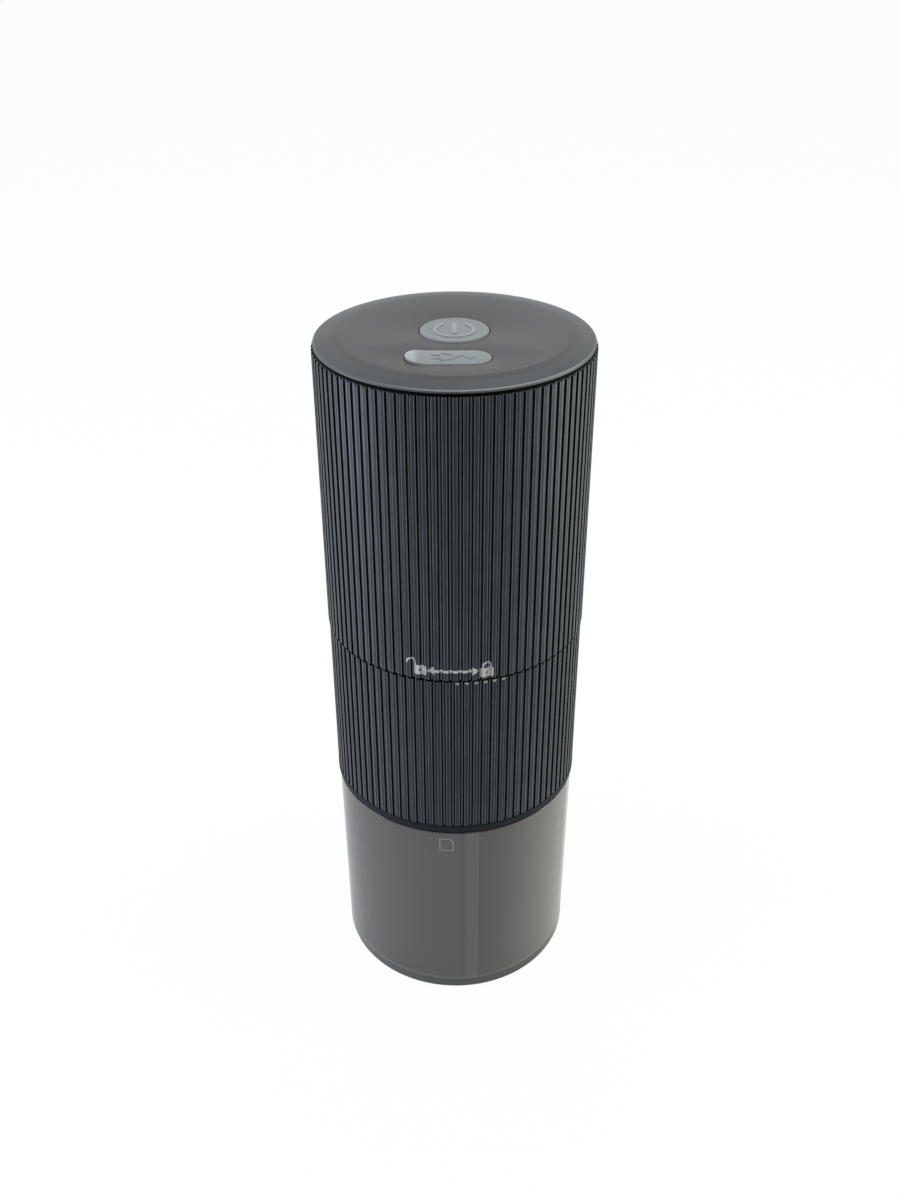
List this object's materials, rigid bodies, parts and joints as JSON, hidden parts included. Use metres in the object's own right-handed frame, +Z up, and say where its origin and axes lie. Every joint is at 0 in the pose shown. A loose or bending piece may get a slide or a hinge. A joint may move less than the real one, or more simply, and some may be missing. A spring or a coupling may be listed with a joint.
{
  "type": "cordless burr coffee grinder",
  "caption": "Cordless electric burr coffee grinder: smoked powder cup, ribbed grinder base with burrs and bean hopper, and a ribbed motor unit that twists to lock on top.",
  "frame": {"origin": "middle of the face that the powder cup stands on, on the grinder's axis", "axes": "+Z up along the grinder's axis, -Y towards the front with the lock marks and the charging port, +X to the right seen from the front"},
  "size_m": [0.075, 0.075, 0.2092],
  "materials": {
    "smoke_plastic": "gloss",
    "seal_rubber": "matte",
    "housing_plastic": "matte",
    "inner_plastic": "matte",
    "steel": "satin",
    "burr_ceramic": "satin",
    "bridge_metal": "satin",
    "bronze": "satin",
    "knob_plastic": "satin",
    "cap_plastic": "matte",
    "motor_steel": "satin",
    "motor_plastic": "satin",
    "cell_wrap": "satin",
    "board_green": "satin",
    "silicone_grey": "matte",
    "gear_white": "satin",
    "sun_brass": "satin",
    "plunger_red": "satin"
  },
  "bodies": {
    "cup": {"powder_cup": "smoke_plastic", "cup_seal": "seal_rubber"},
    "grinder": {"lower_housing": "housing_plastic", "bean_hopper": "inner_plastic", "hopper_screws": "steel", "outer_burr": "burr_ceramic", "burr_retainer": "inner_plastic", "retainer_screws": "steel", "shaft_bridge": "bridge_metal", "bridge_bush": "bronze", "bridge_screws": "steel"},
    "drive_shaft": {"burr_shaft": "steel", "lower_claw": "steel", "claw_pin": "steel", "shaft_clip": "steel", "spring_washer": "steel", "burr_spring": "steel"},
    "cone_burr": {"inner_burr": "burr_ceramic", "click_plate": "steel"},
    "adjuster": {"adjust_knob": "knob_plastic", "knob_insert": "bronze"},
    "motor_unit": {"upper_housing": "housing_plastic", "top_cap": "cap_plastic", "chassis": "inner_plastic", "chassis_screws": "steel", "gear_housing": "bridge_metal", "gearbox_cover": "bridge_metal", "output_bush": "bronze", "motor_can": "motor_steel", "motor_end_bell": "motor_plastic", "motor_screws": "steel", "battery_frame": "inner_plastic", "battery_cell_left": "cell_wrap", "battery_cell_right": "cell_wrap", "cell_strips": "motor_steel", "board_tray": "inner_plastic", "circuit_board": "board_green", "board_screws": "steel", "usb_socket": "motor_steel", "tact_switch": "motor_plastic", "cover_anchor": "silicone_grey"},
    "output_stage": {"output_carrier": "gear_white", "output_pins": "steel", "upper_claw": "steel"},
    "output_gear_1": {"output_planet_1": "gear_white"},
    "output_gear_2": {"output_planet_2": "gear_white"},
    "output_gear_3": {"output_planet_3": "gear_white"},
    "input_stage": {"input_carrier": "gear_white", "input_pins": "steel"},
    "input_gear_1": {"input_planet_1": "gear_white"},
    "input_gear_2": {"input_planet_2": "gear_white"},
    "input_gear_3": {"input_planet_3": "gear_white"},
    "rotor": {"motor_shaft": "steel", "sun_pinion": "sun_brass"},
    "button": {"power_button": "silicone_grey", "switch_plunger": "plunger_red"},
    "port_cover": {"usb_cover": "silicone_grey"}
  },
  "joints": [
    {"name": "cup_pull", "type": "slide", "parent": "cup", "child": "grinder", "axis": [0, 0, 1], "range_m": [0, 0.06]},
    {"name": "burr_spin", "type": "hinge", "parent": "grinder", "child": "drive_shaft", "pos_m": [0, 0, 0.1], "axis": [0, 0, 1], "continuous": true},
    {"name": "burr_lift", "type": "slide", "parent": "drive_shaft", "child": "cone_burr", "axis": [0, 0, 1], "range_m": [-0.00075, 0.00075], "deforming": ["burr_spring"]},
    {"name": "knob_turn", "type": "hinge", "parent": "cone_burr", "child": "adjuster", "pos_m": [0, 0, 0.067], "axis": [0, 0, 1], "range_deg": [-360, 360]},
    {"name": "lock_turn", "type": "hinge", "parent": "grinder", "child": "motor_unit", "pos_m": [0, 0, 0.12], "axis": [0, 0, 1], "range_deg": [0, 28]},
    {"name": "output_spin", "type": "hinge", "parent": "motor_unit", "child": "output_stage", "pos_m": [0, 0, 0.12], "axis": [0, 0, 1], "continuous": true},
    {"name": "input_spin", "type": "hinge", "parent": "motor_unit", "child": "input_stage", "pos_m": [0, 0, 0.13], "axis": [0, 0, 1], "continuous": true},
    {"name": "rotor_spin", "type": "hinge", "parent": "motor_unit", "child": "rotor", "pos_m": [0, 0, 0.14], "axis": [0, 0, 1], "continuous": true},
    {"name": "output_gear_1_spin", "type": "hinge", "parent": "output_stage", "child": "output_gear_1", "pos_m": [0.00825, 0, 0.13], "axis": [0, 0, 1], "continuous": true},
    {"name": "output_gear_2_spin", "type": "hinge", "parent": "output_stage", "child": "output_gear_2", "pos_m": [-0.00413, 0.00714, 0.13], "axis": [0, 0, 1], "continuous": true},
    {"name": "output_gear_3_spin", "type": "hinge", "parent": "output_stage", "child": "output_gear_3", "pos_m": [-0.00413, -0.00714, 0.13], "axis": [0, 0, 1], "continuous": true},
    {"name": "input_gear_1_spin", "type": "hinge", "parent": "input_stage", "child": "input_gear_1", "pos_m": [0.00825, 0, 0.13], "axis": [0, 0, 1], "continuous": true},
    {"name": "input_gear_2_spin", "type": "hinge", "parent": "input_stage", "child": "input_gear_2", "pos_m": [-0.00413, 0.00714, 0.13], "axis": [0, 0, 1], "continuous": true},
    {"name": "input_gear_3_spin", "type": "hinge", "parent": "input_stage", "child": "input_gear_3", "pos_m": [-0.00413, -0.00714, 0.13], "axis": [0, 0, 1], "continuous": true},
    {"name": "button_press", "type": "slide", "parent": "motor_unit", "child": "button", "axis": [0, 0, -1], "range_m": [0, 0.0008], "stiffness_N_per_m": 1500},
    {"name": "cover_open", "type": "hinge", "parent": "motor_unit", "child": "port_cover", "pos_m": [0.0056, -0.0184, 0.20865], "axis": [0, 1, 0], "range_deg": [0, 110]}
  ],
  "couplings": [
    {"joint": "output_spin", "follows": "burr_spin", "ratio": 1},
    {"joint": "input_spin", "follows": "burr_spin", "ratio": 5},
    {"joint": "rotor_spin", "follows": "burr_spin", "ratio": 25},
    {"joint": "output_gear_1_spin", "follows": "burr_spin", "ratio": -2.6667},
    {"joint": "output_gear_2_spin", "follows": "burr_spin", "ratio": -2.6667},
    {"joint": "output_gear_3_spin", "follows": "burr_spin", "ratio": -2.6667},
    {"joint": "input_gear_1_spin", "follows": "burr_spin", "ratio": -13.333},
    {"joint": "input_gear_2_spin", "follows": "burr_spin", "ratio": -13.333},
    {"joint": "input_gear_3_spin", "follows": "burr_spin", "ratio": -13.333},
    {"joint": "knob_turn", "follows": "burr_lift", "rad_per_m": 8377.6}
  ]
}
